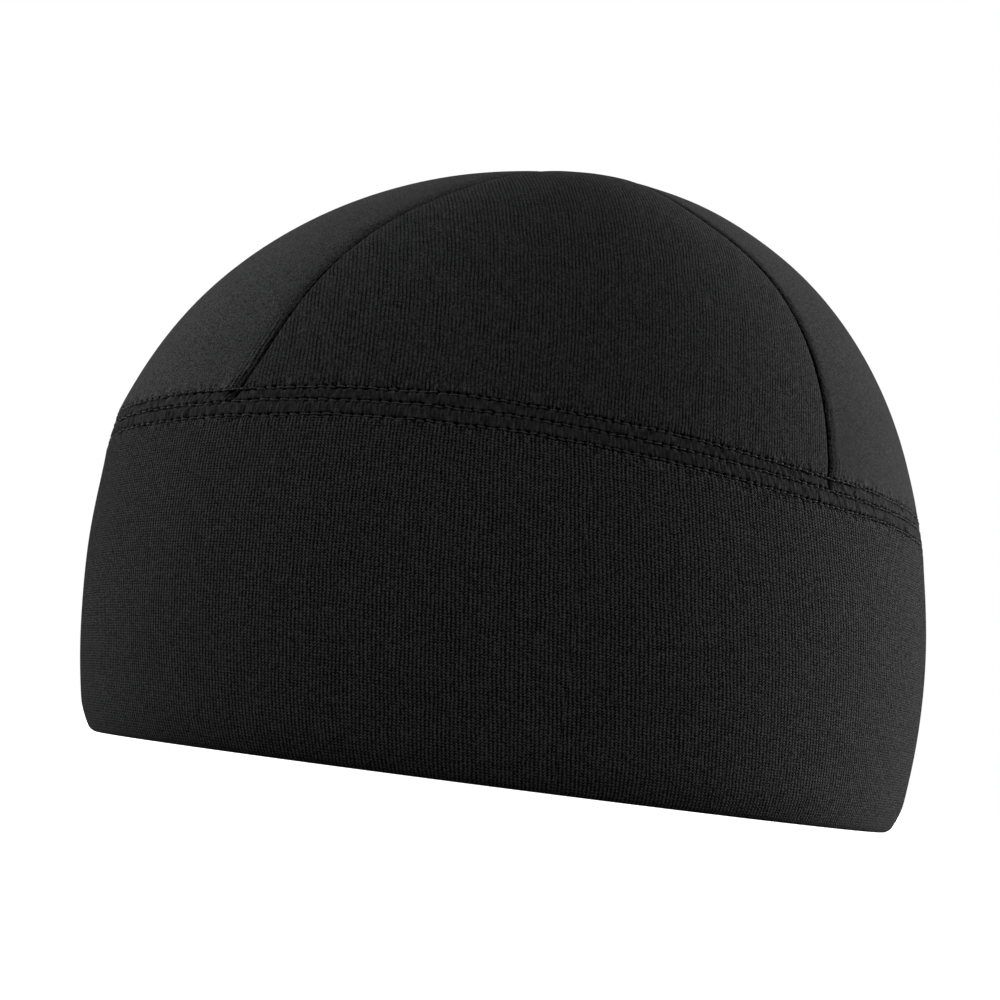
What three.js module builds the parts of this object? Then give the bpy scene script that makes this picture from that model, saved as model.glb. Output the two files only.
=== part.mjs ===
// A close-fitting fleece beanie: a folded band round the head and a crown of four gores.
// Millimetres, +Z up. The wearer faces -Y and the wearer's left is +X. The rim lies on the plane z = 0.
import * as THREE from "three";

// Sizes of the whole cap
const CAP_HEIGHT = 143.8;
const BAND_WALL = 3.2; // two layers of fleece, folded at the rim
const CROWN_WALL = 2;
const GAP = 0.3; // left between pieces where they are sewn together

// How far the cloth reaches from the cap's upright axis, at three levels of the band
const LEVELS = {
  rim: { height: 0, side: 82.5, front: 100, back: 86.4 },
  belly: { height: 36, side: 84.5, front: 105, back: 89.2 },
  seam: { height: 72, side: 79.3, front: 102.4, back: 83.4 },
};
const SECTION_POWER = 2.02; // 2 is an ellipse, more is squarer

// The dome above the band follows one law, which starts at the belly's height
const DOME_POWER = 2.42;
const DOME_ROUNDNESS = 1.85;

// The four gores, between upright seams at these angles about the axis, in degrees from +X towards +Y
const GORES = [
  { name: "crown_left", from: -51, to: 42 },
  { name: "crown_back", from: 42, to: 138 },
  { name: "crown_right", from: 138, to: 231 },
  { name: "crown_front", from: 231, to: 309 },
];
const SEAM_SWEEP = 2.6; // degrees by which each seam's lower end runs forward
const SEAM_SWEEP_HEIGHT = 15;
const SEAM_SINK = 0.5; // the cloth dips towards each crown seam
const SEAM_SINK_REACH = 13;
const SINK_START = 12; // above the band the dip grows over this height
const SINK_WIDTH = 60; // and it fades where a gore is narrower than this, towards its tip
const SEAM_EDGE = [
  { distance: 0, depth: 0.6 },
  { distance: 0.9, depth: 0.2 },
  { distance: 2.6, depth: 0 },
];

// Rows of stitching round the cap pull its cloth in
const STITCH_ROWS = [
  { name: "crown_row", height: 74.8 },
  { name: "joint_row", height: 72 },
  { name: "band_row", height: 68.8 },
];
const ROW_DEPTH = 0.55;
const ROW_REACH = 0.9;

// The fold at the rim has round corners and a narrow flat underside that the cap rests on
const FOLD_RADIUS = 1.1;
const FOLD_STEPS = 3;
const RIM_CURL = 1.6; // how far the folded edge curls under
const RIM_CURL_HEIGHT = 7.5;

// Fineness of the meshes
const BAND_SEGMENTS = 92;
const BAND_LEVELS = [3.6, 7.5, 16, 30, 44, 57, 66.5, 68.8, 70.4];
const GORE_COLUMNS = 10;
const JOINT_LEVELS = [73.4, 74.8, 76.7];
const DOME_ROWS = 11;
const NUDGE = 1e-3;

const CLOTH_COLOUR = 0x1b1b1d;
const CLOTH_ROUGHNESS = 0.95;

const rise = (height) => (height - LEVELS.belly.height) / (CAP_HEIGHT - LEVELS.belly.height);
const domeLaw = (height) => Math.max(0, 1 - rise(height) ** DOME_POWER) ** (1 / DOME_ROUNDNESS);

/** The reach on one side of the cap ("side", "front" or "back") at a height. */
function reach(direction, height) {
  const { rim, belly, seam } = LEVELS;
  if (height > seam.height) {
    return (seam[direction] * domeLaw(height)) / domeLaw(seam.height);
  }
  const u = height / seam.height;
  return (
    rim[direction] * (1 - u) * (1 - 2 * u) +
    belly[direction] * 4 * u * (1 - u) +
    seam[direction] * u * (2 * u - 1)
  );
}

// The axis stands where the cap's own box is centred on the origin
const fullest = (direction) => Math.max(...BAND_LEVELS.map((height) => reach(direction, height)));
const AXIS_Y = (fullest("front") - fullest("back")) / 2;

/** Distance from the axis to the smooth skin, at an angle in radians and a height. */
function radius(angle, height) {
  const side = reach("side", height);
  const long = reach(Math.sin(angle) > 0 ? "back" : "front", height);
  const across = Math.abs(Math.cos(angle)) / side;
  const along = Math.abs(Math.sin(angle)) / long;
  return (across ** SECTION_POWER + along ** SECTION_POWER) ** (-1 / SECTION_POWER);
}

function skin(angle, height) {
  const r = radius(angle, height);
  return new THREE.Vector3(r * Math.cos(angle), AXIS_Y + r * Math.sin(angle), height);
}

/** The outward normal of the smooth skin. */
function outward(angle, height) {
  const round = skin(angle + NUDGE, height).sub(skin(angle - NUDGE, height));
  const low = skin(angle, height - NUDGE);
  const high = skin(angle, Math.min(height + NUDGE, CAP_HEIGHT));
  return round.cross(high.sub(low)).normalize();
}

/** A point that lies under the smooth skin by a depth. */
const under = (angle, height, depth) =>
  skin(angle, height).addScaledVector(outward(angle, height), -depth);

/** The same point, moved level instead, for cloth that keeps its height. */
const beside = (angle, height, depth) => under(angle, height, depth).setZ(height);

const stitchDip = (height) =>
  STITCH_ROWS.reduce(
    (sum, row) => sum + ROW_DEPTH * Math.exp(-(((height - row.height) / ROW_REACH) ** 2)),
    0,
  );

function meshFrom(name, points, faces, material) {
  const geometry = new THREE.BufferGeometry();
  const positions = points.flatMap((point) => point.toArray());
  geometry.setAttribute("position", new THREE.Float32BufferAttribute(positions, 3));
  geometry.setIndex(faces.flat());
  geometry.computeVertexNormals();
  const mesh = new THREE.Mesh(geometry, material);
  mesh.name = name;
  return mesh;
}

const quad = (a, b, c, d) => [
  [a, b, c],
  [a, c, d],
];

/** The band's section as depths under the skin and heights, from the joint down, under and up again. */
function bandSection() {
  const top = LEVELS.seam.height - GAP / 2;
  const corner = (turn) => {
    const angle = (turn / FOLD_STEPS) * (Math.PI / 2);
    return [FOLD_RADIUS * (1 - Math.cos(angle)), FOLD_RADIUS * (1 - Math.sin(angle))];
  };
  const outer = [top, ...BAND_LEVELS.toReversed()].map((height) => ({
    depth: stitchDip(height),
    height,
  }));
  const turns = Array.from({ length: FOLD_STEPS + 1 }, (_, turn) => corner(turn));
  const outerFold = turns.map(([depth, height]) => ({ depth, height }));
  const innerFold = turns
    .toReversed()
    .map(([depth, height]) => ({ depth: BAND_WALL - depth, height }));
  const inner = [...BAND_LEVELS, top].map((height) => ({ depth: BAND_WALL, height }));
  return [...outer, ...outerFold, ...innerFold, ...inner];
}

const rimCurl = (height) => RIM_CURL * Math.max(0, 1 - height / RIM_CURL_HEIGHT) ** 2;

function band(material) {
  const section = bandSection();
  const points = [];
  const faces = [];
  for (let i = 0; i < BAND_SEGMENTS; i += 1) {
    const angle = (i / BAND_SEGMENTS) * 2 * Math.PI;
    for (const { depth, height } of section) {
      points.push(beside(angle, height, depth + rimCurl(height)));
    }
  }
  const at = (i, j) => (i % BAND_SEGMENTS) * section.length + (j % section.length);
  for (let i = 0; i < BAND_SEGMENTS; i += 1) {
    for (let j = 0; j < section.length; j += 1) {
      faces.push(...quad(at(i, j), at(i, j + 1), at(i + 1, j + 1), at(i + 1, j)));
    }
  }
  return meshFrom("band", points, faces, material);
}

/** Columns of a gore as distances from its nearer seam, up to a width. */
function columns(width) {
  const squeeze = Math.min(1, (width / SEAM_EDGE.at(-1).distance) * (1 / (GORE_COLUMNS + 2)));
  const edge = SEAM_EDGE.map(({ distance, depth }) => ({ distance: distance * squeeze, depth }));
  const inset = edge.at(-1).distance;
  const middle = Array.from({ length: GORE_COLUMNS - 1 }, (_, i) => {
    const along = inset + ((width - 2 * inset) * (i + 1)) / GORE_COLUMNS;
    return { along, depth: 0 };
  });
  const left = edge.map(({ distance, depth }) => ({ along: distance, depth }));
  const right = edge.toReversed().map(({ distance, depth }) => ({ along: width - distance, depth }));
  return [...left, ...middle, ...right];
}

/** The angle of a seam at a height, from the angle in degrees that it has higher up. */
function seamAngle(degrees, height) {
  const angle = THREE.MathUtils.degToRad(degrees);
  const low = Math.exp((LEVELS.seam.height - height) / SEAM_SWEEP_HEIGHT);
  return angle - Math.sign(Math.cos(angle)) * THREE.MathUtils.degToRad(SEAM_SWEEP) * low;
}

/** One row of a gore's outer and inner points at a height. */
function goreRow(gore, height) {
  const first = seamAngle(gore.from, height);
  const last = seamAngle(gore.to, height);
  const start = first + Math.asin(GAP / 2 / radius(first, height));
  const end = last - Math.asin(GAP / 2 / radius(last, height));
  const width = (end - start) * radius((start + end) / 2, height);
  const grown = Math.min(1, (height - LEVELS.seam.height) / SINK_START, width / SINK_WIDTH);
  const place = height < JOINT_LEVELS[0] ? beside : under;
  return columns(width).map(({ along, depth }) => {
    const angle = start + ((end - start) * along) / width;
    const distance = Math.min(along, width - along);
    const sink = SEAM_SINK * grown * Math.exp(-((distance / SEAM_SINK_REACH) ** 2));
    return {
      outer: place(angle, height, depth + sink + stitchDip(height)),
      inner: place(angle, height, CROWN_WALL + sink),
    };
  });
}

/** The gore's tip, beside the axis, where the gaps along its two seams meet. */
function goreTip(gore) {
  const half = THREE.MathUtils.degToRad((gore.to - gore.from) / 2);
  const middle = THREE.MathUtils.degToRad((gore.to + gore.from) / 2);
  const away = GAP / 2 / Math.sin(half);
  const tip = (height) =>
    new THREE.Vector3(away * Math.cos(middle), AXIS_Y + away * Math.sin(middle), height);
  return {
    outer: tip(CAP_HEIGHT - SEAM_EDGE[0].depth),
    inner: tip(CAP_HEIGHT - CROWN_WALL),
  };
}

function goreHeights() {
  const joint = LEVELS.seam.height;
  const dome = Array.from({ length: DOME_ROWS - 1 }, (_, i) => {
    const turn = ((i + 1) / DOME_ROWS) * (Math.PI / 2);
    return joint + (CAP_HEIGHT - joint) * Math.sin(turn);
  });
  return [joint + GAP / 2, ...JOINT_LEVELS, ...dome];
}

function crownGore(gore, material) {
  const rows = goreHeights().map((height) => goreRow(gore, height));
  const wide = rows[0].length;
  const tall = rows.length;
  const tip = goreTip(gore);
  const outerPoints = [...rows.flat().map((point) => point.outer), tip.outer];
  const innerPoints = [...rows.flat().map((point) => point.inner), tip.inner];
  const points = [...outerPoints, ...innerPoints];
  const tipAt = wide * tall;
  const shift = tipAt + 1;
  const at = (row, column) => (row === tall ? tipAt : row * wide + column);
  const faces = [];
  const addSkin = (a, b, c) => {
    faces.push([a, b, c], [c + shift, b + shift, a + shift]);
  };
  const addWall = (a, b) => faces.push(...quad(a, a + shift, b + shift, b));
  for (let row = 0; row < tall; row += 1) {
    for (let column = 0; column < wide - 1; column += 1) {
      addSkin(at(row, column), at(row, column + 1), at(row + 1, column + 1));
      if (row < tall - 1) {
        addSkin(at(row, column), at(row + 1, column + 1), at(row + 1, column));
      }
    }
    addWall(at(row + 1, 0), at(row, 0));
    addWall(at(row, wide - 1), at(row + 1, wide - 1));
  }
  for (let column = 0; column < wide - 1; column += 1) {
    addWall(at(0, column), at(0, column + 1));
  }
  return meshFrom(gore.name, points, faces, material);
}

function cloth(name) {
  const material = new THREE.MeshStandardMaterial({
    color: CLOTH_COLOUR,
    roughness: CLOTH_ROUGHNESS,
    metalness: 0,
  });
  material.name = name;
  return material;
}

function beanie() {
  const cap = new THREE.Group();
  cap.name = "beanie";
  cap.add(band(cloth("band_fleece")));
  for (const gore of GORES) {
    cap.add(crownGore(gore, cloth("crown_fleece")));
  }
  return cap;
}

export default beanie();
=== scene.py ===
"""Looks of the fleece beanie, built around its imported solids.

The wearer faces -Y and the wearer's left is +X. Lengths are in millimetres until a mesh is made.
"""

import math

import bpy
import numpy as np
from mathutils import Matrix, Vector


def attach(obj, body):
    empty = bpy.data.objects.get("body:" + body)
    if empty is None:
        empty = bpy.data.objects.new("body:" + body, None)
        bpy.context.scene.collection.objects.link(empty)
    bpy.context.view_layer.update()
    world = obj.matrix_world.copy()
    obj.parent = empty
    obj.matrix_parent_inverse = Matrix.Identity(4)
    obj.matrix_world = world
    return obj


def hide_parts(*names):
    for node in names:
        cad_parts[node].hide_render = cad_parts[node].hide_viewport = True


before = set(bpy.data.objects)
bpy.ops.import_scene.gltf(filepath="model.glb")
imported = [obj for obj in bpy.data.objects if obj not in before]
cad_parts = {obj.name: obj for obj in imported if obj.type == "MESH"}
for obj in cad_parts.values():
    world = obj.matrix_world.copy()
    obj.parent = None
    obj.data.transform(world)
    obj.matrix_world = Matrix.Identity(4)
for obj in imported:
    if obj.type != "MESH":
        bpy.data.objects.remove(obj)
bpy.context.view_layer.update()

# The cap's form, which follows the same laws as its solids
METRES = 0.001
CAP_HEIGHT = 143.8
BAND_WALL = 3.2
CROWN_WALL = 2.0
BELLY_HEIGHT = 36.0
JOINT_HEIGHT = 72.0
REACHES = {"side": (82.5, 84.5, 79.3), "front": (100.0, 105.0, 102.4), "back": (86.4, 89.2, 83.4)}
SECTION_POWER = 2.02
DOME_POWER = 2.42
DOME_ROUNDNESS = 1.85
FULLEST_LEVELS = (16, 30, 44, 57)
RIM_CURL = 1.6
RIM_CURL_HEIGHT = 7.5
SEAM_SWEEP = 2.6
SEAM_SWEEP_HEIGHT = 15.0
GORES = (
    {"name": "crown_left", "from": -51, "to": 42, "on_top": True, "turn": 1},
    {"name": "crown_back", "from": 42, "to": 138, "on_top": False, "roll": 0.5, "reach": 1.1},
    {"name": "crown_right", "from": 138, "to": 231, "on_top": True, "turn": -1},
    {"name": "crown_front", "from": 231, "to": 309, "on_top": False, "roll": 0.8, "reach": 2.2},
)

# What the cloth adds to the solids: a joint that waves, bent and sunken seams, and slack
JOINT_WAVE = (-1.37, 1.68, -1.92, -1.12, -0.08)
SEAM_BENDS = {
    "front": {"turn": 22, "height": 135.0, "reach": 9.0},
    "back": {"turn": 22, "height": 130.5, "reach": 5.5},
}
SEAM_SINK = 0.5
SEAM_SINK_REACH = 13.0
SINK_START = 12.0
SINK_WIDTH = 60.0
SLACK_HILLS = ((0.28, 46, 38, 41), (0.12, 17, 15, 42))
SLACK_FROM_RIM = 12
SLACK_FROM_TOP = 20

# The stitch rows
STITCH = 1.9
STITCH_SPREAD = 0.3
ROWS = (
    {"name": "crown_row", "height": 74.8, "shift": 0.0, "sway": 0.16, "seed": 11, "groove": 0.26},
    {"name": "joint_row", "height": 72.0, "shift": 0.37, "sway": 0.06, "seed": 12, "groove": 0.1},
    {"name": "band_row", "height": 68.8, "shift": 0.71, "sway": 0.18, "seed": 13, "groove": 0.26},
)
SWAYS = 40
UNEVEN_STITCHES = 120
UNEVENNESS = 0.13

# How the rows shape the cloth
GROOVE_WIDTH = 0.36
HOLE = {"depth": 0.48, "along": 0.34, "up": 0.42}
BESIDE = {"rise": 0.15, "off": 0.6, "up": 0.34, "along": 0.42}
PUCKER = {"depth": 0.15, "slant": 0.28, "along": 0.34, "fade": 1.2, "even": 0.7, "uneven": 0.45}
PUFF_UPPER = 0.17
PUFF_LOWER = 0.24
SWELL_ABOVE = {"rise": 0.16, "size": 1.7}
SWELL_BELOW = {"rise": 0.24, "size": 2.0}
STITCHED_MIDDLE = 71.4
STITCHED_REACH = 5.2
STITCHED_HILLS = ((0.11, 0.8, 2.0, 31), (0.10, 2.3, 3.0, 32))
CREASE_HILLS = ((1.0, 3.2, 5.0, 33),)
CREASE_DEPTH = 0.28
CREASE_WIDTH = 0.09

# Fineness of the meshes
NUDGE = 1e-3
TABLE_POINTS = 7201
HOLE_TABLE_POINTS = 40000
COLUMNS_PER_STITCH = 7
COARSE_SEGMENTS = 320
FOLD_TURNS = 7
FINE_ROW = 0.24
UPPER_ROW = 0.5
BAND_ROW = 1.6
INNER_ROW = 2.6
FINE_BELOW = 64.5
BAND_FINE_TOP = 71.2
BAND_LIP_ROWS = (71.42, 71.6, 71.75, 71.86)
CROWN_LIP_ROWS = (72.15, 72.27, 72.42, 72.62)
CROWN_FINE_BOTTOM = 72.85
FINE_ABOVE = 79.5
UPPER_GAP = 0.45
INNER_BOTTOM = 74.0


def dome_law(height):
    """The crown's width at a height, as a share of the width that its dome would have at the belly."""
    rise = np.clip((height - BELLY_HEIGHT) / (CAP_HEIGHT - BELLY_HEIGHT), 0, 1)
    return (1 - rise**DOME_POWER) ** (1 / DOME_ROUNDNESS)


def reach(direction, height):
    """How far the skin is from the axis on the cap's side, front or back, at a height."""
    rim, belly, seam = REACHES[direction]
    u = height / JOINT_HEIGHT
    band = rim * (1 - u) * (1 - 2 * u) + belly * 4 * u * (1 - u) + seam * u * (2 * u - 1)
    crown = seam * dome_law(height) / dome_law(JOINT_HEIGHT)
    return np.where(height > JOINT_HEIGHT, crown, band)


def fullest(direction):
    """The cap's greatest reach in a direction."""
    return max(float(reach(direction, float(level))) for level in FULLEST_LEVELS)


AXIS_Y = (fullest("front") - fullest("back")) / 2


def radius(angle, height):
    """Distance from the axis to the smooth skin."""
    long = np.where(np.sin(angle) > 0, reach("back", height), reach("front", height))
    across = np.abs(np.cos(angle)) / np.maximum(reach("side", height), 1e-9)
    along = np.abs(np.sin(angle)) / np.maximum(long, 1e-9)
    return (across**SECTION_POWER + along**SECTION_POWER) ** (-1 / SECTION_POWER)


def skin(angle, height):
    """Points of the smooth skin."""
    r = radius(angle, height)
    return np.stack([r * np.cos(angle), AXIS_Y + r * np.sin(angle), height + 0 * r], -1)


def unit(vectors):
    """Vectors with the same directions that are one long."""
    return vectors / np.maximum(np.linalg.norm(vectors, axis=-1, keepdims=True), 1e-12)


def outward(angle, height):
    """The outward normal of the smooth skin."""
    around = skin(angle + NUDGE, height) - skin(angle - NUDGE, height)
    rising = skin(angle, np.minimum(height + NUDGE, CAP_HEIGHT)) - skin(angle, height - NUDGE)
    return unit(np.cross(around, rising))


def waved(angle, height):
    """The height where the cloth lies whose height would be this if the joint were level.

    The joint is highest beside the temples and runs down to the front and the back.
    """
    wave = sum(part * np.cos(order * (angle + np.pi / 2)) for order, part in enumerate(JOINT_WAVE))
    share = np.minimum(height, CAP_HEIGHT) / CAP_HEIGHT
    return height + wave * (4 * share * (1 - share)) ** 2


def under(angle, height, depth, level):
    """Points under the skin by a depth. If level is true they keep their height."""
    height = waved(angle, height)
    points = skin(angle, height) - outward(angle, height) * depth[..., None]
    points[..., 2] = np.where(level, height, points[..., 2])
    return points


# Distance round the cap at the joint, and the number of stitches that it takes
table_angles = np.linspace(0, 2 * np.pi, TABLE_POINTS)
table_skin = skin(table_angles, np.full(TABLE_POINTS, JOINT_HEIGHT))
table_around = np.concatenate([[0], np.cumsum(np.linalg.norm(np.diff(table_skin, axis=0), axis=1))])
GIRTH = table_around[-1]
STITCHES = round(GIRTH / STITCH)
PITCH = GIRTH / STITCHES


def around_at(angle):
    """Distance round the cap at the joint, from +X towards +Y."""
    return np.interp(np.mod(angle, 2 * np.pi), table_angles, table_around)


def angle_at(around):
    """The angle at a distance round the cap."""
    return np.interp(np.mod(around, GIRTH), table_around, table_angles)


def bell(x, size):
    """1 where x is 0, falling smoothly to 0 a few sizes away."""
    return np.exp(-((x / size) ** 2))


def ripple(x, cells, seed):
    """Smooth random waves between -1 and 1 along x, which repeat after a whole number of cells."""
    values = np.random.default_rng(seed).uniform(-1, 1, cells)
    low = np.floor(x).astype(int)
    t = x - low
    t = t * t * (3 - 2 * t)
    return values[low % cells] * (1 - t) + values[(low + 1) % cells] * t


def ripples(x, y, cells, seed):
    """Smooth random hills between -1 and 1, which repeat along x."""
    rows = 64
    values = np.random.default_rng(seed).uniform(-1, 1, (rows, cells))
    i, j = np.floor(x).astype(int), np.floor(y).astype(int)
    s, t = x - i, y - j
    s, t = s * s * (3 - 2 * s), t * t * (3 - 2 * t)
    low = values[j % rows, i % cells] * (1 - s) + values[j % rows, (i + 1) % cells] * s
    high = values[(j + 1) % rows, i % cells] * (1 - s) + values[(j + 1) % rows, (i + 1) % cells] * s
    return low * (1 - t) + high * t


def hills(around, height, layers):
    """Random hills over the whole cap. Each layer gives their rise, size round, size up and seed."""
    total = 0
    for rise, size_round, size_up, seed in layers:
        cells = max(3, round(GIRTH / size_round))
        total = total + rise * ripples(around / GIRTH * cells, height / size_up, cells, seed)
    return total


def slack(around, height):
    """The gentle unevenness of soft cloth."""
    from_rim = np.clip(height / SLACK_FROM_RIM, 0, 1)
    from_top = np.clip((CAP_HEIGHT - height) / SLACK_FROM_TOP, 0, 1)
    return hills(around, height, SLACK_HILLS) * from_rim * from_top


def rim_curl(height):
    """How far the folded edge curls under, at each height."""
    return RIM_CURL * np.clip(1 - height / RIM_CURL_HEIGHT, 0, 1) ** 2


def row_height(row, around):
    """The height of a stitch row, which sways a little."""
    return row["height"] + row["sway"] * ripple(around / GIRTH * SWAYS, SWAYS, row["seed"])


def row_phase(row, around):
    """Counts stitches along a row. Whole numbers are needle holes. Stitches are longest at the front."""
    uneven = UNEVENNESS * ripple(around / GIRTH * UNEVEN_STITCHES, UNEVEN_STITCHES, row["seed"] + 50)
    uneven -= STITCHES / (2 * np.pi) * STITCH_SPREAD * np.cos(2 * np.pi * around / GIRTH)
    return around / PITCH + row["shift"] + uneven


def row_place(rows, around, height):
    """For each of two rows, the stitches counted along it and the distance up from it."""
    parts = [part for row in rows for part in (row_phase(row, around), height - row_height(row, around))]
    return np.stack(np.broadcast_arrays(*parts), -1)


def row_relief(row, around, height):
    """How far one stitch row pulls the cloth in, most at its needle holes, and swells it beside them."""
    phase = row_phase(row, around)
    whole = np.round(phase)
    along = (phase - whole) * PITCH
    up = height - row_height(row, around)
    relief = -row["groove"] * bell(up, GROOVE_WIDTH)
    relief -= HOLE["depth"] * bell(along, HOLE["along"]) * bell(up, HOLE["up"])
    beside = bell(np.abs(up) - BESIDE["off"], BESIDE["up"])
    relief += BESIDE["rise"] * beside * (1 - bell(along, BESIDE["along"]))
    strength = PUCKER["even"] + PUCKER["uneven"] * ripple(whole, STITCHES, row["seed"] + 7)
    slanted = bell(along + PUCKER["slant"] * up, PUCKER["along"])
    return relief - PUCKER["depth"] * strength * slanted * np.exp(-np.abs(up) / PUCKER["fade"])


def swelling(distance, rise, size):
    """A soft swelling that starts at a stitch row and is fullest a size away."""
    near = np.maximum(distance, 0) / size
    return rise * near * np.exp(1 - near)


def stitch_relief(around, height):
    """How far the stitching pulls the cloth in, and lets it puff out between the rows, outward."""
    relief = sum(row_relief(row, around, height) for row in ROWS)
    top, joint, low = (row_height(row, around) for row in ROWS)
    upper = np.clip((height - joint) / (top - joint), 0, 1)
    lower = np.clip((height - low) / (joint - low), 0, 1)
    relief += PUFF_UPPER * np.sin(np.pi * upper) + PUFF_LOWER * np.sin(np.pi * lower)
    relief += swelling(height - top, **SWELL_ABOVE) + swelling(low - height, **SWELL_BELOW)
    uneven = hills(around, height, STITCHED_HILLS)
    uneven -= CREASE_DEPTH * bell(hills(around, height, CREASE_HILLS), CREASE_WIDTH)
    near = np.exp(-((np.abs(height - STITCHED_MIDDLE) / STITCHED_REACH) ** 4))
    return relief + near * uneven


def steps(first, last, step):
    """Evenly spaced heights from first to last, about a step apart."""
    return np.linspace(first, last, max(2, round(abs(last - first) / step) + 1))


def grid_faces(numbers):
    """Quads of a grid whose rows rise and whose columns go round, seen from outside."""
    corners = [numbers[:-1, :-1], numbers[:-1, 1:], numbers[1:, 1:], numbers[1:, :-1]]
    return np.stack(corners, -1).reshape(-1, 4)


def zip_rows(low, low_at, high, high_at):
    """Triangles between two rows with different numbers of points, seen from outside."""
    faces = []
    i = j = 0
    while i < len(low) - 1 or j < len(high) - 1:
        if j == len(high) - 1 or (i < len(low) - 1 and low_at[i + 1] <= high_at[j + 1]):
            faces.append((low[i], low[i + 1], high[j]))
            i += 1
        else:
            faces.append((low[i], high[j + 1], high[j]))
            j += 1
    return faces


class Shell:
    """Collects the points of one piece, its faces, and the coordinates that its materials read.

    Each point has a place on the knit, one beside each of two stitch rows, and one beside a seam.
    """

    def __init__(self):
        self.points = []
        self.knit = []
        self.rows = []
        self.seams = []
        self.weld = []
        self.faces = []
        self.materials = []
        self.count = 0

    def add(self, points, knit, rows, seams, closed=False):
        """Adds a grid of points and returns their numbers. If closed, its last column is its first."""
        shape = points.shape[:-1]
        numbers = self.count + np.arange(int(np.prod(shape))).reshape(shape)
        weld = numbers.copy()
        if closed:
            weld[:, -1] = numbers[:, 0]
        self.points.append(points.reshape(-1, 3))
        self.knit.append(knit.reshape(-1, 2))
        self.rows.append(rows.reshape(-1, 4))
        self.seams.append(np.broadcast_to(seams, (*shape, 2)).reshape(-1, 2))
        self.weld.append(weld.ravel())
        self.count += numbers.size
        return numbers

    def cover(self, faces, material=0):
        """Adds faces between points that were added."""
        self.faces += [tuple(int(n) for n in face) for face in faces]
        self.materials += [material] * len(faces)

    def make(self, name):
        """Makes the piece's mesh and object."""
        keep, weld = np.unique(np.concatenate(self.weld), return_inverse=True)
        points = np.concatenate(self.points)[keep] * METRES
        corners = np.fromiter((n for face in self.faces for n in face), np.int32)
        starts = np.cumsum([0] + [len(face) for face in self.faces[:-1]])
        mesh = bpy.data.meshes.new(name)
        mesh.vertices.add(len(points))
        mesh.vertices.foreach_set("co", points.astype(np.float32).ravel())
        mesh.loops.add(len(corners))
        mesh.loops.foreach_set("vertex_index", weld.astype(np.int32)[corners])
        mesh.polygons.add(len(self.faces))
        mesh.polygons.foreach_set("loop_start", starts.astype(np.int32))
        mesh.polygons.foreach_set("material_index", np.array(self.materials, np.int32))
        mesh.polygons.foreach_set("use_smooth", np.ones(len(self.faces), bool))
        knit, rows, seams = (np.concatenate(part) for part in (self.knit, self.rows, self.seams))
        places = {"Knit": knit, "UpperRow": rows[:, :2], "LowerRow": rows[:, 2:], "Seam": seams}
        for label, place in places.items():
            layer = mesh.uv_layers.new(name=label)
            layer.data.foreach_set("uv", place[corners].astype(np.float32).ravel())
        mesh.update(calc_edges=True)
        mesh.validate()
        piece = bpy.data.objects.new(name, mesh)
        bpy.context.scene.collection.objects.link(piece)
        return piece


# The band, and the lips of cloth that turn in along the joint
FOLD_RADIUS = 1.3
BAND_LEAN = 0.11
SLIT = 0.07
LIP_DEPTH = 0.3
LIP_REACH = 0.2
# The seam coordinates of a piece that has no crown seam
FAR = (99.0, 0.0)


def band_ring(shell, count, heights, depths, lengths):
    """Rows of cloth all round the band. Lengths run along its section, from the rim up."""
    around = np.linspace(0, GIRTH, count + 1)
    angle = np.append(angle_at(around[:-1]), 2 * np.pi)
    at, h = np.meshgrid(around, heights)
    a = np.broadcast_to(angle, at.shape)
    outer = np.clip(1 - depths / BAND_WALL, 0, 1)[:, None]
    pulled = np.where(depths < BAND_WALL / 2, 1, 0)[:, None] * stitch_relief(at, h)
    depth = depths[:, None] + rim_curl(h) - slack(at, h) - pulled * outer
    points = under(a, h, depth, True)
    knit = np.stack([at + BAND_LEAN * h, np.broadcast_to(lengths[:, None], at.shape)], -1)
    return shell.add(points, knit, row_place(ROWS[1:], at, h), FAR, closed=True), around


def band_cloth():
    """The band, two layers folded at the rim, with fine rows where it is stitched."""
    shell = Shell()
    top = JOINT_HEIGHT - SLIT
    inner = steps(top, FOLD_RADIUS, INNER_ROW)[:-1]
    outer = steps(FOLD_RADIUS, FINE_BELOW - FINE_ROW, BAND_ROW)[1:]
    turn = np.linspace(0, np.pi / 2, FOLD_TURNS)
    inward, rising = FOLD_RADIUS * (1 - np.cos(turn)), FOLD_RADIUS * (1 - np.sin(turn))
    heights = np.concatenate([inner, rising, rising[::-1], outer])
    depths = np.concatenate([0 * inner + BAND_WALL, BAND_WALL - inward, inward[::-1], 0 * outer])
    lengths = np.cumsum(np.hypot(np.diff(heights, prepend=top), np.diff(depths, prepend=BAND_WALL)))
    lengths += outer[-1] - lengths[-1]
    coarse, coarse_at = band_ring(shell, COARSE_SEGMENTS, heights, depths, lengths)
    heights = np.concatenate([steps(FINE_BELOW, BAND_FINE_TOP, FINE_ROW), BAND_LIP_ROWS, [top]])
    lip = LIP_DEPTH * bell(top - heights, LIP_REACH)
    fine, fine_at = band_ring(shell, STITCHES * COLUMNS_PER_STITCH, heights, lip, heights)
    shell.cover(grid_faces(coarse))
    shell.cover(zip_rows(coarse[-1], coarse_at, fine[0], fine_at))
    shell.cover(grid_faces(fine))
    shell.cover(zip_rows(fine[-1], fine_at, coarse[0], coarse_at))
    return shell.make("band_cloth")


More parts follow.
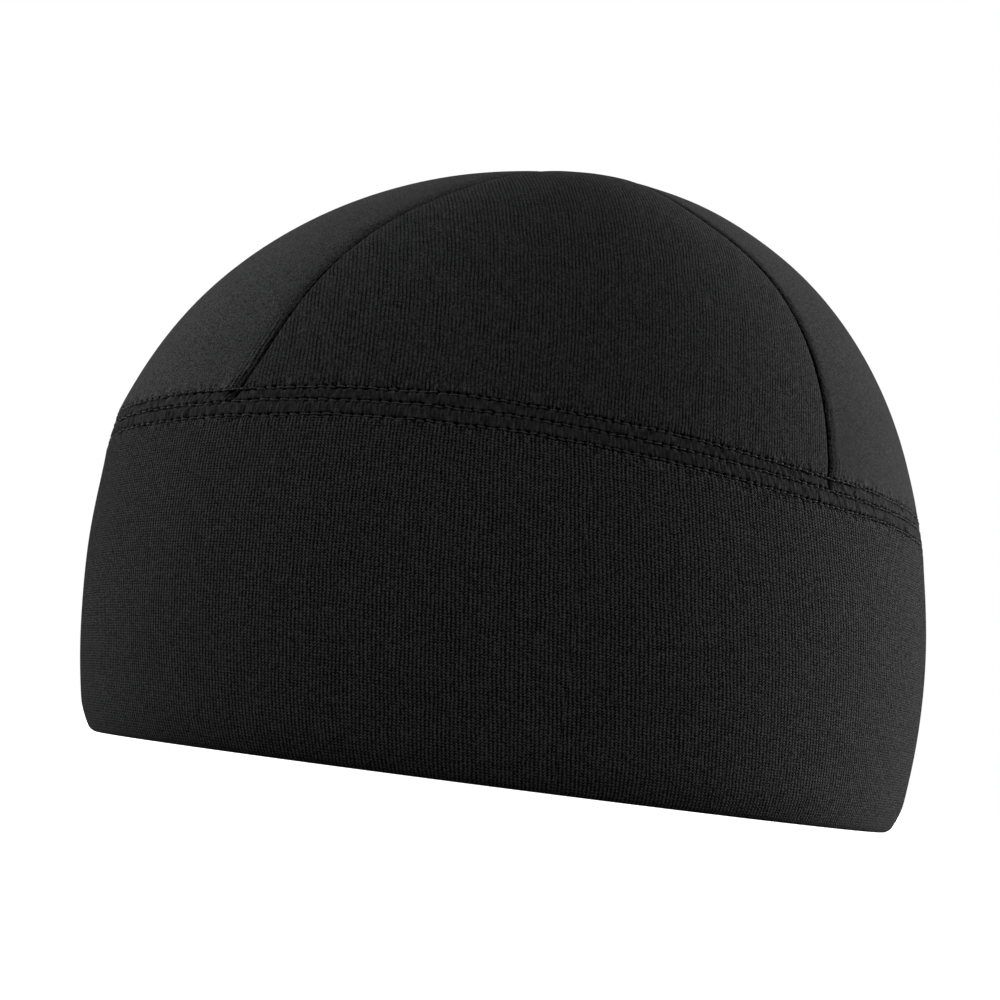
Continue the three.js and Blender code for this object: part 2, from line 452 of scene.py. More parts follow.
# The crown, whose gores stand a slit apart outside and overlap a little inside
SEAM_SLIT = 0.06
INNER_LAP = 0.04
LEVEL_BELOW = JOINT_HEIGHT + 1
OUTER_TIP_DEPTH = 1.0
INNER_TIP_DEPTH = CROWN_WALL + 0.3
INNER_COLUMNS = 33
UPPER_STEP = 2.6
SEAM_COLUMNS = (0, 0.14, 0.3, 0.48, 0.7, 0.95, 1.25, 1.6, 2.05, 2.6, 3.3, 4.2, 5.3, 6.8, 8.8)
SEAM_COLUMNS_SHARE = 0.36

# Heights at which a gore's length of cloth is measured, closer together near the top
LADDER = JOINT_HEIGHT + (CAP_HEIGHT - JOINT_HEIGHT) * np.sin(np.linspace(0, np.pi / 2, 2001))

# The sewn edges of the gores: how deep and wide they turn in, and how strongly the seam puckers them
SEAM_STITCH = 1.7
SEAM_SEEDS = (61, 67)
SEAM_CELLS = 60
SEAM_DRIFT = {"size": 9, "turn": 1.5}
SEAM_UNEVEN_SIZE = 2.3
RELIEF_WIDTH = 9
RELIEF_START = 2
OVER = {"turned": ((0.6, 0.5), (0.2, 1.7)), "pucker": 0.09, "uneven": 0.05, "fade": 0.9}
BELOW = {"turned": ((0.5, 0.35),), "pucker": 0.12, "uneven": 0.06, "fade": 1.3}
ROLL_UNEVEN = 0.15
FOLDS = {"rise": 0.16, "pitch": 0.98, "bend": 0.3, "off": 1.6, "reach": 2.0, "height": 78, "tall": 16}

# How the wales of a side gore crowd towards its back and lean forward
WALE_PACE = 1.2
WALE_CROWDING = {"strength": 2.9, "start": 8, "reach": 22}
WALE_LEAN = 0.03
WALE_BEND = 0.0011


def meridian(angle, heights):
    """Length of cloth from the joint up to each height."""
    path = skin(np.full_like(LADDER, angle), np.minimum(LADDER, CAP_HEIGHT - 1e-6))
    lengths = np.concatenate([[0], np.cumsum(np.linalg.norm(np.diff(path, axis=0), axis=1))])
    return np.interp(heights, LADDER, lengths)


def dome_heights(angle, first, step):
    """Heights from the first up to just short of the tip, evenly spaced along the cloth."""
    lengths = meridian(angle, LADDER)
    start = float(meridian(angle, first))
    count = round((lengths[-1] - start) / step)
    wanted = start + (lengths[-1] - start) * np.arange(count) / count
    return np.interp(wanted, lengths, LADDER)


def even_columns(count):
    """Columns that are the same distance apart."""
    return lambda width: width * np.linspace(0, 1, count)


def seam_columns(middle):
    """Columns that are close together by the seams, with so many more in the middle."""
    near = np.array(SEAM_COLUMNS)

    def columns(width):
        edge = near * min(1, SEAM_COLUMNS_SHARE * width / near[-1])
        between = np.linspace(edge[-1], width - edge[-1], middle + 2)[1:-1]
        return np.concatenate([edge, between, width - edge[::-1]])

    return columns


def seam_relief(gore, distance, height, length, seed):
    """How far the cloth of one gore rises beside a seam. The side gores lie on top of the others."""
    sewn = OVER if gore["on_top"] else BELOW
    drift = SEAM_DRIFT["turn"] * ripple(length / SEAM_DRIFT["size"], SEAM_CELLS, seed)
    pucker = np.cos(2 * np.pi * length / SEAM_STITCH + drift)
    uneven = ripple(length / SEAM_UNEVEN_SIZE, SEAM_CELLS, seed + 1)
    relief = -sum(depth * bell(distance, width) for depth, width in sewn["turned"])
    relief -= (sewn["pucker"] * pucker + sewn["uneven"] * uneven) * np.exp(-distance / sewn["fade"])
    if gore["on_top"]:
        return relief
    relief -= (gore["roll"] + ROLL_UNEVEN * uneven) * bell(distance, gore["reach"])
    folds = np.cos(2 * np.pi * (distance + FOLDS["bend"] * uneven) / FOLDS["pitch"])
    beside = bell(distance - FOLDS["off"], FOLDS["reach"])
    return relief + FOLDS["rise"] * folds * beside * bell(height - FOLDS["height"], FOLDS["tall"])


def wale_place(back, up):
    """Knit coordinate on a side gore, from the distances back from its middle and up from the joint."""
    swing = np.log(np.cosh((back - WALE_CROWDING["start"]) / WALE_CROWDING["reach"]))
    return WALE_PACE * back + WALE_CROWDING["strength"] * swing + WALE_LEAN * up + WALE_BEND * up**2


def seam_angle(degrees, height):
    """The angle of a seam. Its lower end runs forward, and its upper end bends over its side gore."""
    angle = math.radians(degrees)
    low = math.exp((JOINT_HEIGHT - float(waved(angle, height))) / SEAM_SWEEP_HEIGHT)
    bend = SEAM_BENDS["front" if math.sin(angle) < 0 else "back"]
    high = 1 / (1 + math.exp((bend["height"] - height) / bend["reach"]))
    forward = math.copysign(math.radians(SEAM_SWEEP), math.cos(angle)) * low
    over = math.copysign(math.radians(bend["turn"]), math.sin(2 * angle)) * high
    return angle - forward - over


def gore_span(gore, height, slit):
    """The angles at which a row of a gore's cloth starts and ends, half a slit from its seams."""
    first, last = seam_angle(gore["from"], height), seam_angle(gore["to"], height)
    start = first + math.asin(slit / 2 / float(radius(first, height)))
    end = last - math.asin(slit / 2 / float(radius(last, height)))
    return start, end


def sewn_relief(gore, around, along, width, height, length):
    """How far a row of a gore's outer face rises by its seams and by the stitch rows, outward."""
    relief = sum(
        seam_relief(gore, distance, height, length, seed)
        for distance, seed in zip((along, width - along), SEAM_SEEDS)
    )
    relief *= min(1, width / RELIEF_WIDTH) * min(1, (height - JOINT_HEIGHT) / RELIEF_START)
    lip = LIP_DEPTH * bell(height - JOINT_HEIGHT - SLIT, LIP_REACH)
    return relief - lip + stitch_relief(around, np.full_like(around, height))


def gore_rows(shell, gore, heights, columns, inner):
    """A grid of one gore's cloth, with knit coordinates measured from its middle line."""
    half = math.radians((gore["from"] + gore["to"]) / 2)
    points, knit, rows, seams = [], [], [], []
    for height, length in zip(heights, meridian(half, heights)):
        start, end = gore_span(gore, height, -INNER_LAP if inner else SEAM_SLIT)
        width = (end - start) * float(radius(half, height))
        along = columns(width)
        angle = start + (end - start) * along / width
        around = np.unwrap(around_at(angle), period=GIRTH)
        distance = np.minimum(along, width - along)
        h = np.full_like(angle, height)
        grown = min(1, (height - JOINT_HEIGHT) / SINK_START, width / SINK_WIDTH)
        depth = SEAM_SINK * grown * bell(distance, SEAM_SINK_REACH) - slack(around, h)
        if inner:
            depth += CROWN_WALL
        else:
            depth -= sewn_relief(gore, around, along, width, height, length)
        points.append(under(angle, h, depth, height < LEVEL_BELOW))
        wales = (angle - half) * float(radius(half, height))
        if gore["on_top"]:
            wales = wale_place(wales * gore["turn"], length)
        knit.append(np.stack([wales, np.full_like(along, JOINT_HEIGHT + length)], -1))
        rows.append(row_place(ROWS[:2], around, h))
        seams.append(np.stack([distance, np.full_like(along, length)], -1))
    return shell.add(np.array(points), np.array(knit), np.array(rows), np.array(seams))


def gore_tip(shell, gore, depth):
    """The one point that closes a face of a gore at the top, just on its own side of the axis."""
    first, last = seam_angle(gore["from"], CAP_HEIGHT), seam_angle(gore["to"], CAP_HEIGHT)
    middle = (first + last) / 2
    away = SEAM_SLIT / 2 / math.sin((last - first) / 2)
    place = [away * math.cos(middle), AXIS_Y + away * math.sin(middle), CAP_HEIGHT - depth]
    length = float(meridian(middle, CAP_HEIGHT))
    rows = row_place(ROWS[:2], np.array(0.0), np.array(CAP_HEIGHT))
    return shell.add(np.array([[place]]), np.array([[[0, JOINT_HEIGHT + length]]]), rows, (0, length))[0]


def crown_gore(gore):
    """One gore of the crown as a closed piece of cloth."""
    shell = Shell()
    middle = math.radians((gore["from"] + gore["to"]) / 2)
    widest = math.radians(gore["to"] - gore["from"]) * float(radius(middle, JOINT_HEIGHT))
    fine_count = round(widest / PITCH * COLUMNS_PER_STITCH) + 1
    upper_columns = seam_columns(round(widest / UPPER_STEP))

    bottom = [JOINT_HEIGHT + SLIT]
    low = np.concatenate([bottom, CROWN_LIP_ROWS, steps(CROWN_FINE_BOTTOM, FINE_ABOVE, FINE_ROW)])
    high = dome_heights(middle, FINE_ABOVE + UPPER_GAP, UPPER_ROW)
    inside = np.concatenate([bottom, dome_heights(middle, INNER_BOTTOM, INNER_ROW)])
    lower = gore_rows(shell, gore, low, even_columns(fine_count), False)
    upper = gore_rows(shell, gore, high, upper_columns, False)
    inner = gore_rows(shell, gore, inside, even_columns(INNER_COLUMNS), True)
    outer_tip = gore_tip(shell, gore, OUTER_TIP_DEPTH)
    inner_tip = gore_tip(shell, gore, INNER_TIP_DEPTH)

    lower_shares = np.linspace(0, 1, fine_count)
    upper_shares = upper_columns(widest) / widest
    inner_shares = np.linspace(0, 1, INNER_COLUMNS)
    shell.cover(grid_faces(lower))
    shell.cover(zip_rows(lower[-1], lower_shares, upper[0], upper_shares))
    shell.cover(grid_faces(upper))
    shell.cover(zip_rows(upper[-1], upper_shares, outer_tip, [1]))
    shell.cover(grid_faces(inner)[:, ::-1], 1)
    shell.cover([face[::-1] for face in zip_rows(inner[-1], inner_shares, inner_tip, [1])], 1)
    for column in (0, -1):
        outer_edge = np.concatenate([lower[:, column], upper[:, column], outer_tip])
        inner_edge = np.concatenate([inner[:, column], inner_tip])
        edges = [(outer_edge, [*low, *high, CAP_HEIGHT]), (inner_edge, [*inside, CAP_HEIGHT])]
        near, far = edges if column == 0 else edges[::-1]
        shell.cover(zip_rows(*near, *far), 1)
    shell.cover(zip_rows(inner[0], inner_shares, lower[0], lower_shares), 1)
    return shell.make(gore["name"] + "_cloth")


# The thread of the stitch rows
THREAD_RADIUS = 0.15
THREAD_STEPS = 7
THREAD_SIDES = 8
THREAD_ENDS = (0.06, 0.94)
THREAD_TILT = 0.3
THREAD_SHIFT = 0.15
THREAD_LIFT = 0.12
THREAD_DIVE = 1.0
THREAD_DIVE_POWER = 2.6
THREAD_LIFT_SPREAD = 0.05


def needle_holes(row):
    """Distances round the cap at which the needle went in, one more than there are stitches."""
    around = np.linspace(-2 * PITCH, GIRTH + 3 * PITCH, HOLE_TABLE_POINTS)
    first = math.ceil(float(row_phase(row, np.array(0.0))))
    return np.interp(first + np.arange(STITCHES + 1), row_phase(row, around), around)


def thread_rings(path, out, turn):
    """The points of the threads' surface, at each turn round each point of their paths."""
    along = unit(np.gradient(path, axis=1))
    side = unit(np.cross(along, out))
    out = np.cross(side, along)
    ring = out[:, :, None] * np.cos(turn)[:, None] + side[:, :, None] * np.sin(turn)[:, None]
    return path[:, :, None] + ring * THREAD_RADIUS


def row_threads(row):
    """Every stitch of a row as a short thread that dives into its needle holes."""
    rng = np.random.default_rng(row["seed"] + 100)
    holes = needle_holes(row)
    share = np.linspace(*THREAD_ENDS, THREAD_STEPS)
    around = holes[:-1, None] + np.diff(holes)[:, None] * share
    tilt = rng.uniform(-THREAD_TILT, THREAD_TILT, (STITCHES, 1)) * (share - 0.5)
    height = row_height(row, around) + tilt + rng.uniform(-THREAD_SHIFT, THREAD_SHIFT, (STITCHES, 1))
    lift = THREAD_LIFT - THREAD_DIVE * np.abs(2 * share - 1) ** THREAD_DIVE_POWER
    lift = lift + rng.uniform(-THREAD_LIFT_SPREAD, THREAD_LIFT_SPREAD, (STITCHES, 1))
    angle = angle_at(around)
    path = under(angle, height, -(slack(around, height) + lift), True)
    turn = np.arange(THREAD_SIDES) * 2 * np.pi / THREAD_SIDES
    points = thread_rings(path, outward(angle, waved(angle, height)), turn)

    shell = Shell()
    grid = points.shape[:3]
    knit = np.stack([np.broadcast_to(around[:, :, None], grid), np.broadcast_to(turn, grid)], -1)
    numbers = shell.add(points, knit, np.zeros((*grid, 4)), FAR)
    wrapped = np.roll(numbers, -1, axis=2)
    corners = [numbers[:, :-1], wrapped[:, :-1], wrapped[:, 1:], numbers[:, 1:]]
    shell.cover(np.stack(corners, -1).reshape(-1, 4))
    shell.cover(numbers[:, 0].reshape(-1, THREAD_SIDES)[:, ::-1])
    shell.cover(numbers[:, -1].reshape(-1, THREAD_SIDES))
    return shell.make(row["name"] + "_stitches")


# Painted shade in the needle holes and grooves of the stitch rows and along the crown seams, and painted
# light and shade of the ridges beside a seam: how dark, and where
HOLE_SHADE = {"along": 0.28, "up": 0.6, "dark": 1.9}
GROOVE_SHADE = {"up": 0.22, "dark": 0.2}
ROW_REACH = 3.2
ROW_PAINTED_SHADE = 0.8
SEAM_SHADE = {"narrowest": 0.1, "uneven": 0.7, "dark": 1.3, "shaded_strip": 0.2}
SEAM_GRAIN = 0.6
RIDGE_SHADING = {"pitch": 0.95, "bend": 0.5, "mean": 0.45, "reach": 4.8, "up": 10.0, "tall": 16.0}


class Tree:
    """Shorthand for building a material's nodes."""

    def __init__(self, name):
        self.material = bpy.data.materials.new(name)
        self.material.use_nodes = True
        self.nodes = self.material.node_tree.nodes
        self.links = self.material.node_tree.links
        self.shader = self.nodes["Principled BSDF"]

    def put(self, socket, value):
        """Links a socket or sets a number."""
        if isinstance(value, bpy.types.NodeSocket):
            self.links.new(value, socket)
        else:
            socket.default_value = value

    def math(self, operation, *values):
        node = self.nodes.new("ShaderNodeMath")
        node.operation = operation
        for socket, value in zip(node.inputs, values):
            self.put(socket, value)
        return node.outputs[0]

    def add(self, *values):
        total = values[0]
        for value in values[1:]:
            total = self.math("ADD", total, value)
        return total

    def subtract(self, value, taken):
        return self.math("SUBTRACT", value, taken)

    def multiply(self, *values):
        product = values[0]
        for value in values[1:]:
            product = self.math("MULTIPLY", product, value)
        return product

    def divide(self, value, by):
        return self.math("DIVIDE", value, by)

    def higher(self, a, b):
        return self.math("MAXIMUM", a, b)

    def lower(self, a, b):
        return self.math("MINIMUM", a, b)

    def blend(self, factor, low, high):
        """Mixes two numbers."""
        node = self.nodes.new("ShaderNodeMix")
        node.data_type = "FLOAT"
        for name, value in (("Factor", factor), ("A", low), ("B", high)):
            self.put(node.inputs[name], value)
        return node.outputs["Result"]

    def own_place(self, label):
        """One of the cloth's own pairs of coordinates."""
        node = self.nodes.new("ShaderNodeUVMap")
        node.uv_map = label
        parts = self.nodes.new("ShaderNodeSeparateXYZ")
        self.links.new(node.outputs["UV"], parts.inputs[0])
        return parts.outputs["X"], parts.outputs["Y"]

    def place(self, x, y):
        """A pair of coordinates as a vector."""
        node = self.nodes.new("ShaderNodeCombineXYZ")
        self.put(node.inputs["X"], x)
        self.put(node.inputs["Y"], y)
        return node.outputs[0]

    def noise(self, vector, scale, detail=2.0, roughness=0.5):
        """Cloudy noise between 0 and 1."""
        node = self.nodes.new("ShaderNodeTexNoise")
        self.put(node.inputs["Vector"], vector)
        node.inputs["Scale"].default_value = scale
        node.inputs["Detail"].default_value = detail
        node.inputs["Roughness"].default_value = roughness
        return node.outputs["Fac"]

    def speckle(self, x, y):
        """A random number for each whole pair of coordinates."""
        node = self.nodes.new("ShaderNodeTexWhiteNoise")
        node.noise_dimensions = "2D"
        self.put(node.inputs["Vector"], self.place(self.math("FLOOR", x), self.math("FLOOR", y)))
        return node.outputs["Value"]

    def wave(self, cycles, start=0.0):
        """Smooth hills between 0 and 1, one for each whole cycle."""
        turned = self.multiply(self.add(cycles, start), 2 * math.pi)
        return self.add(self.multiply(self.math("COSINE", turned), 0.5), 0.5)

    def spot(self, x, width, y=0.0, height=1.0):
        """1 in the middle of an ellipse, falling to 0 at its edge and beyond."""
        x, y = self.divide(x, width), self.divide(y, height)
        far = self.add(self.multiply(x, x), self.multiply(y, y))
        return self.higher(self.subtract(1.0, far), 0.0)

    def stitching(self, label):
        """The painted shade that a stitch row lays in its needle holes and groove, how near the row is, and
        the distance up from it.

        The first two are between 0 and 1, the last is in millimetres.
        """
        phase, off = self.own_place(label)
        hole = self.spot(self.math("PINGPONG", phase, 0.5), HOLE_SHADE["along"], off, HOLE_SHADE["up"])
        groove = self.spot(off, GROOVE_SHADE["up"])
        dark = self.add(self.multiply(hole, HOLE_SHADE["dark"]), self.multiply(groove, GROOVE_SHADE["dark"]))
        near = self.subtract(1.0, self.divide(self.math("ABSOLUTE", off), ROW_REACH))
        return self.lower(dark, 1.0), self.higher(near, 0.0), off

    def seam_line(self, shaded_strip, ridge_shading):
        """Painted shade by a crown seam: a dark line in its groove, and a weaker one over a strip, so many
        millimetres wide, where the cloth rolls down into the seam.

        The ridge shading is the strength of the painted light and shade of the pucker ridges that run beside
        the seam's lower end.
        """
        distance, length = self.own_place("Seam")
        uneven = self.noise(self.place(distance, length), SEAM_GRAIN)
        width = self.add(SEAM_SHADE["narrowest"], self.multiply(uneven, SEAM_SHADE["uneven"]))
        line = self.multiply(self.spot(distance, width), SEAM_SHADE["dark"])
        beside = self.multiply(self.spot(distance, shaded_strip), SEAM_SHADE["shaded_strip"])
        bent = self.add(distance, self.multiply(uneven, RIDGE_SHADING["bend"]))
        ridge = self.subtract(self.wave(self.divide(bent, RIDGE_SHADING["pitch"])), RIDGE_SHADING["mean"])
        up = self.subtract(length, RIDGE_SHADING["up"])
        low = self.spot(distance, RIDGE_SHADING["reach"], up, RIDGE_SHADING["tall"])
        return self.add(line, beside, self.multiply(ridge, low, ridge_shading))

    def tint(self, factor, stops):
        """A colour ramp, from places along it and their colours."""
        node = self.nodes.new("ShaderNodeValToRGB")
        self.put(node.inputs["Fac"], factor)
        ramp = node.color_ramp
        while len(ramp.elements) < len(stops):
            ramp.elements.new(0.5)
        for element, (position, colour) in zip(ramp.elements, stops):
            element.position = position
            element.color = (*colour, 1)
        return node.outputs["Color"]

    def dye(self, shade, tone, stops, bump, coolness=1.0):
        """Colours the surface and raises it by its shade. Stops are shades and shares of the tone."""
        stops = [(at, (tone * share, tone * share, tone * share * coolness)) for at, share in stops]
        self.links.new(self.tint(shade, stops), self.shader.inputs["Base Color"])
        node = self.nodes.new("ShaderNodeBump")
        node.inputs["Distance"].default_value = bump
        self.put(node.inputs["Height"], shade)
        self.links.new(node.outputs["Normal"], self.shader.inputs["Normal"])

    def finish(self, **numbers):
        """Sets numbers that are the same all over the surface."""
        for name, value in numbers.items():
            self.shader.inputs[name.replace("_", " ")].default_value = value
        return self.material


# The knitted faces. The colour of each is a number of times the tone.
TONE = 0.016
COOLNESS = 1.03
KNIT_STOPS = ((0.0, 0.05), (0.25, 0.35), (0.5, 0.95), (0.75, 1.9), (1.0, 3.4))
KNIT_BUMP = 0.00008
WANDER = {"scale": 0.11, "detail": 3.0, "reach": 0.9}
FURROW = {"sharpness": 4.0, "shortest": 1.5, "spread": 3.0, "seed": 3.0, "mean": 0.15}
FURROW_DEPTH = {"least": 0.1, "spread": 0.9}
SPARKS_PER_WALE = 3.0
SPARKS_PER_COURSE = 2.5
CALM = {"gain": -0.7, "most": 0.75, "lighter": 0.04, "by_tone": 0.25}
WRINKLE_SHADING = {"across": 1.7, "along": 0.45, "roughness": 0.6, "strength": 1.8}


def knit_pattern(tree, u, v, wale, course, furrow_shade, stitches, sparks):
    """The knit's light and dark, up to about a half each way.

    The furrow shade is painted shade in the furrows between wales; stitches are the dots along the wales,
    lighter on the loops and darker in the gaps, painted light and shade of the knit's relief; sparks are
    the stray bright ones, a tone that differs at random. Each number is a strength.
    """
    wander = tree.subtract(tree.noise(tree.place(u, v), WANDER["scale"], WANDER["detail"]), 0.5)
    columns = tree.divide(tree.add(u, tree.multiply(wander, WANDER["reach"])), wale)
    from_middle = tree.math("ABSOLUTE", tree.subtract(tree.math("FRACT", columns), 0.5))
    lift = tree.add(tree.divide(v, course), from_middle)
    crest, trough = tree.wave(columns, 0.5), tree.wave(columns)

    spread = tree.multiply(tree.speckle(columns, FURROW["seed"]), FURROW["spread"])
    length = tree.divide(v, tree.add(FURROW["shortest"], spread))
    depth = tree.multiply(tree.speckle(columns, length), FURROW_DEPTH["spread"])
    depth = tree.add(depth, FURROW_DEPTH["least"])
    furrow = tree.multiply(tree.math("POWER", trough, FURROW["sharpness"]), depth)
    furrow = tree.subtract(FURROW["mean"], furrow)

    bright = tree.multiply(crest, tree.wave(lift))
    dark = tree.multiply(trough, tree.wave(lift, 0.5))
    stitch = tree.subtract(tree.multiply(bright, bright), tree.multiply(dark, dark))
    spark = tree.speckle(tree.multiply(columns, SPARKS_PER_WALE), tree.multiply(lift, SPARKS_PER_COURSE))
    spark = tree.subtract(spark, 0.5)
    return tree.add(
        tree.multiply(furrow, furrow_shade), tree.multiply(stitch, stitches), tree.multiply(spark, sparks)
    )


def knit_cloth(name, wale, course, furrow_shade, stitches, sparks, shaded_strip, ridge_shading, lightness):
    """A knitted face, with wale and course in millimetres, and strengths as knit_pattern has them.

    The shaded strip is the width of the painted shade beside a crown seam, and the ridge shading the
    strength of the painted light and shade of the pucker ridges there. Lightness is the number of times
    that the face is as light as TONE; on the front and back gores the part above 1 is painted sheen.
    """
    tree = Tree(name)
    u, v = tree.own_place("Knit")
    knit = knit_pattern(tree, u, v, wale, course, furrow_shade, stitches, sparks)
    upper_dark, upper_near, upper_off = tree.stitching("UpperRow")
    lower_dark, lower_near, lower_off = tree.stitching("LowerRow")

    # Between the rows the knit is calmer. A face as light as TONE is a little lighter there, and a lighter
    # face is darker there, which takes back its painted sheen.
    between = tree.higher(tree.multiply(upper_off, lower_off, CALM["gain"]), 0.0)
    between = tree.lower(between, CALM["most"])
    lighter = CALM["lighter"] - CALM["by_tone"] * (lightness - 1)
    shade = tree.multiply(knit, tree.subtract(1.0, between))
    shade = tree.add(shade, 0.5, tree.multiply(between, lighter))

    # Painted light and shade of the small wrinkles beside the stitch rows, as short lighter and darker
    # strokes
    wrinkle_shading = tree.place(tree.multiply(u, WRINKLE_SHADING["across"]), tree.multiply(v, WRINKLE_SHADING["along"]))
    wrinkle_shading = tree.subtract(tree.noise(wrinkle_shading, 1.0, roughness=WRINKLE_SHADING["roughness"]), 0.5)
    wrinkle_shading = tree.multiply(wrinkle_shading, tree.higher(upper_near, lower_near), WRINKLE_SHADING["strength"])
    # The crown seams' painted shade, and the painted light and shade of the pucker ridges beside them
    shade = tree.subtract(tree.add(shade, wrinkle_shading), tree.seam_line(shaded_strip, ridge_shading))
    # Painted shade in the needle holes and grooves of the stitch rows
    shade = tree.subtract(shade, tree.multiply(tree.higher(upper_dark, lower_dark), ROW_PAINTED_SHADE))
    tree.dye(shade, TONE * lightness, KNIT_STOPS, KNIT_BUMP, COOLNESS)
    return tree.finish(Roughness=0.9, Specular_IOR_Level=0.0, Sheen_Weight=0.03, Sheen_Roughness=0.45)


def pile_cloth(name, lightness):
    """The brushed inner face of the fleece."""
    tree = Tree(name)
    cloth = tree.place(*tree.own_place("Knit"))
    tufts = tree.noise(cloth, 0.9, detail=4.0, roughness=0.65)
    hairs = tree.noise(cloth, 4.5, detail=3.0, roughness=0.7)
    shade = tree.blend(0.35, tufts, hairs)
    tree.dye(shade, TONE * lightness, ((0.25, 0.45), (0.75, 1.6)), bump=0.0006)
    return tree.finish(Roughness=1.0, Specular_IOR_Level=0.1, Sheen_Weight=0.3, Sheen_Roughness=0.6)


def thread(name, tone):
    """Twisted thread."""
    tree = Tree(name)
    u, v = tree.own_place("Knit")
    twist = tree.math("SINE", tree.add(tree.multiply(u, 14.0), v))
    twist = tree.add(tree.multiply(twist, 0.5), 0.5)
    tree.dye(twist, tone, ((0.0, 0.5), (1.0, 1.3)), bump=0.00005)
    return tree.finish(Roughness=0.6, Specular_IOR_Level=0.04, Sheen_Weight=0.02)


def clothe(piece, materials, node=None):
    """Gives a piece its materials and its place in the part."""
    for material in materials:
        piece.data.materials.append(material)
    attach(piece, "root")
    if node:
        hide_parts(node)


band_fleece = knit_cloth(
    "band_fleece", wale=0.79, course=0.57, furrow_shade=0.2, stitches=0.7, sparks=0.62,
    shaded_strip=1.0, ridge_shading=0.0, lightness=1.0,
)
side_fleece = knit_cloth(
    "side_gore_fleece", wale=0.87, course=0.47, furrow_shade=0.6, stitches=0.12, sparks=0.55,
    shaded_strip=0.9, ridge_shading=0.0, lightness=1.0,
)
# The front and back gores are the same fleece as the others: their greater lightness is painted sheen, the
# side light that their knit catches because it runs the other way.
front_fleece_painted_sheen = knit_cloth(
    "front_gore_fleece_painted_sheen", wale=0.45, course=0.4, furrow_shade=0.0, stitches=0.3, sparks=0.7,
    shaded_strip=2.0, ridge_shading=0.6, lightness=1.9,
)
# The back gore's greater lightness is painted sheen too.
back_fleece_painted_sheen = knit_cloth(
    "back_gore_fleece_painted_sheen", wale=0.6, course=0.4, furrow_shade=0.0, stitches=0.25, sparks=0.45,
    shaded_strip=1.0, ridge_shading=0.0, lightness=1.45,
)
pile = pile_cloth("brushed_inside", lightness=0.7)
yarn = thread("stitch_thread", tone=0.052)

gore_faces = {
    "crown_left": side_fleece,
    "crown_right": side_fleece,
    "crown_front": front_fleece_painted_sheen,
    "crown_back": back_fleece_painted_sheen,
}
clothe(band_cloth(), [band_fleece], "band")
for gore in GORES:
    clothe(crown_gore(gore), [gore_faces[gore["name"]], pile], gore["name"])
for row in ROWS:
    clothe(row_threads(row), [yarn])

# The studio, in metres
FLOOR_HALF = 9.0
FLOOR_GRAIN = 30.0
FLOOR_TONES = (0.86, 0.88)
LIT_POINT = (0, 0, 0.07)
SENSOR_WIDTH = 36
CLIP_START = 0.01
SKY = {"From Min": -0.2, "From Max": 0.5, "To Min": 0.05, "To Max": 0.3}


def studio_floor():
    """A pale floor, which throws no light back on the cap."""
    mesh = bpy.data.meshes.new("floor")
    corners = [(x * FLOOR_HALF, y * FLOOR_HALF, 0) for x, y in ((-1, -1), (1, -1), (1, 1), (-1, 1))]
    mesh.from_pydata(corners, [], [(0, 1, 2, 3)])
    floor = bpy.data.objects.new("floor", mesh)
    bpy.context.scene.collection.objects.link(floor)
    tree = Tree("pale_floor")
    grain = tree.noise(tree.nodes.new("ShaderNodeTexCoord").outputs["Object"], FLOOR_GRAIN)
    colour = tree.tint(grain, [(at, (tone,) * 3) for at, tone in enumerate(FLOOR_TONES)])
    tree.links.new(colour, tree.shader.inputs["Base Color"])
    tree.finish(Roughness=1.0, Specular_IOR_Level=0.0, Emission_Color=(1, 1, 1, 1), Emission_Strength=0.8)
    mesh.materials.append(tree.material)
    floor.visible_diffuse = False
    floor.visible_glossy = False


def way_out(azimuth, elevation):
    """The direction from the cap to a light or camera. The front is at azimuth 0, the left at 90."""
    a, e = math.radians(azimuth), math.radians(elevation)
    return Vector((math.sin(a) * math.cos(e), -math.cos(a) * math.cos(e), math.sin(e)))


def soft_light(name, azimuth, elevation, distance, wide, tall, watts):
    """A soft light that shines on the cap."""
    way = way_out(azimuth, elevation)
    lamp = bpy.data.lights.new(name, "AREA")
    lamp.shape = "RECTANGLE"
    lamp.size = wide
    lamp.size_y = tall
    lamp.energy = watts
    light = bpy.data.objects.new(name, lamp)
    light.location = Vector(LIT_POINT) + way * distance
    light.rotation_mode = "QUATERNION"
    light.rotation_quaternion = way.to_track_quat("Z", "Y")
    bpy.context.scene.collection.objects.link(light)


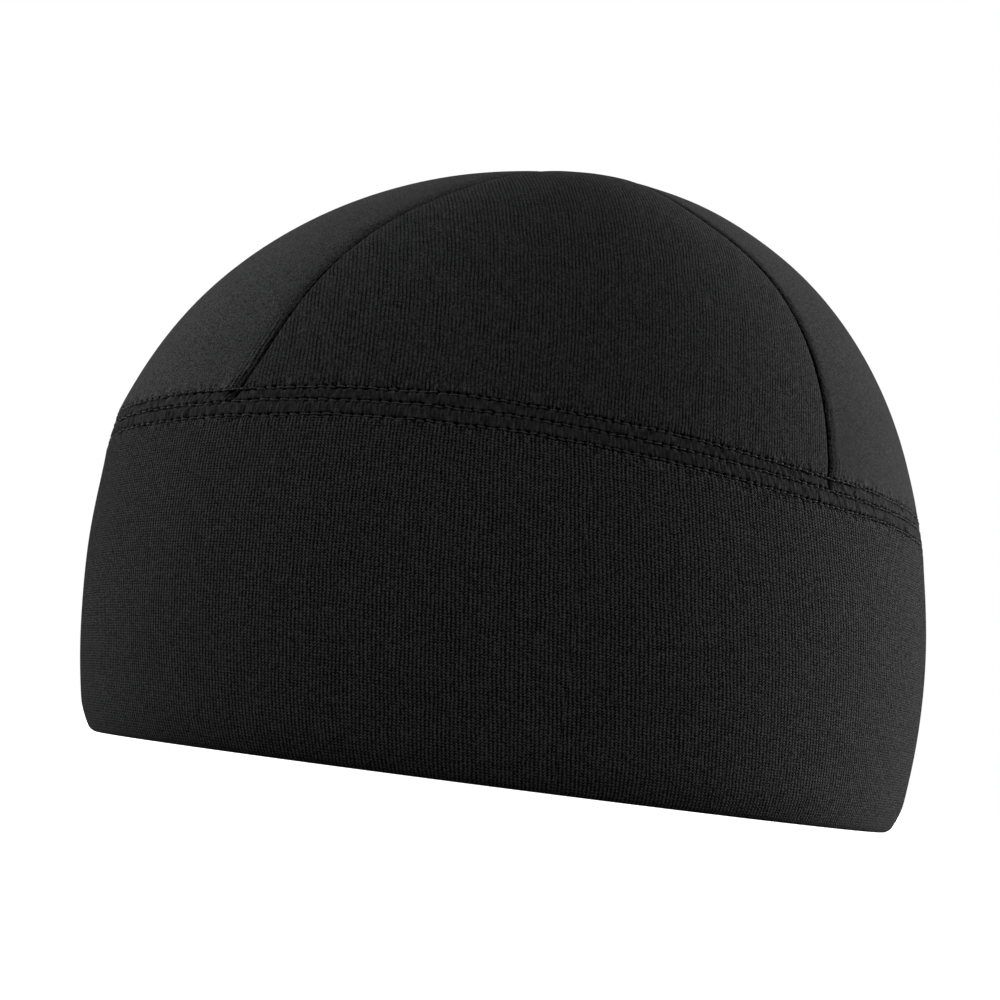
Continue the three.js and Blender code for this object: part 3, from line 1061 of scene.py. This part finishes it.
def camera_at(target, azimuth, elevation, distance, roll, lens, aside):
    """A camera that looks at the target, then turns aside by small angles to frame it as the photo does."""
    way = way_out(azimuth, elevation)
    turned = way.to_track_quat("Z", "Y").to_matrix().to_4x4()
    for degrees, axis in ((roll, "Z"), (aside[0], "Y"), (aside[1], "X")):
        turned @= Matrix.Rotation(math.radians(degrees), 4, axis)
    camera = bpy.data.objects.new("camera", bpy.data.cameras.new("camera"))
    camera.data.lens = lens
    camera.data.sensor_width = SENSOR_WIDTH
    camera.data.clip_start = CLIP_START
    camera.matrix_world = Matrix.Translation(Vector(target) + way * distance) @ turned
    bpy.context.scene.collection.objects.link(camera)
    bpy.context.scene.camera = camera


def white_world():
    """White to the camera, and a dim even light on the cap."""
    world = bpy.data.worlds.new("studio")
    world.use_nodes = True
    nodes, links = world.node_tree.nodes, world.node_tree.links
    background = nodes["Background"]
    background.inputs["Color"].default_value = (1, 1, 1, 1)
    way = nodes.new("ShaderNodeSeparateXYZ")
    links.new(nodes.new("ShaderNodeTexCoord").outputs["Generated"], way.inputs[0])
    sky = nodes.new("ShaderNodeMapRange")
    for name, value in SKY.items():
        sky.inputs[name].default_value = value
    links.new(way.outputs["Z"], sky.inputs["Value"])
    seen = nodes.new("ShaderNodeMix")
    seen.inputs["B"].default_value = 1.0
    links.new(nodes.new("ShaderNodeLightPath").outputs["Is Camera Ray"], seen.inputs["Factor"])
    links.new(sky.outputs["Result"], seen.inputs["A"])
    links.new(seen.outputs["Result"], background.inputs["Strength"])
    bpy.context.scene.world = world


studio_floor()
white_world()
soft_light("left_light", azimuth=-22, elevation=10, distance=1.3, wide=0.9, tall=0.5, watts=25)
soft_light("right_light", azimuth=195, elevation=10, distance=1.3, wide=0.8, tall=0.5, watts=41)
soft_light("fill_light", azimuth=104, elevation=20, distance=1.7, wide=1.5, tall=1.2, watts=12)
soft_light("top_light", azimuth=60, elevation=84, distance=1.6, wide=1.6, tall=1.6, watts=3)
camera_at(
    target=(0, 0, 0.0719), azimuth=86, elevation=-7.2, distance=0.52,
    roll=7.25, lens=79.75, aside=(0.61, -0.666),
)
bpy.context.scene.view_settings.view_transform = "Standard"
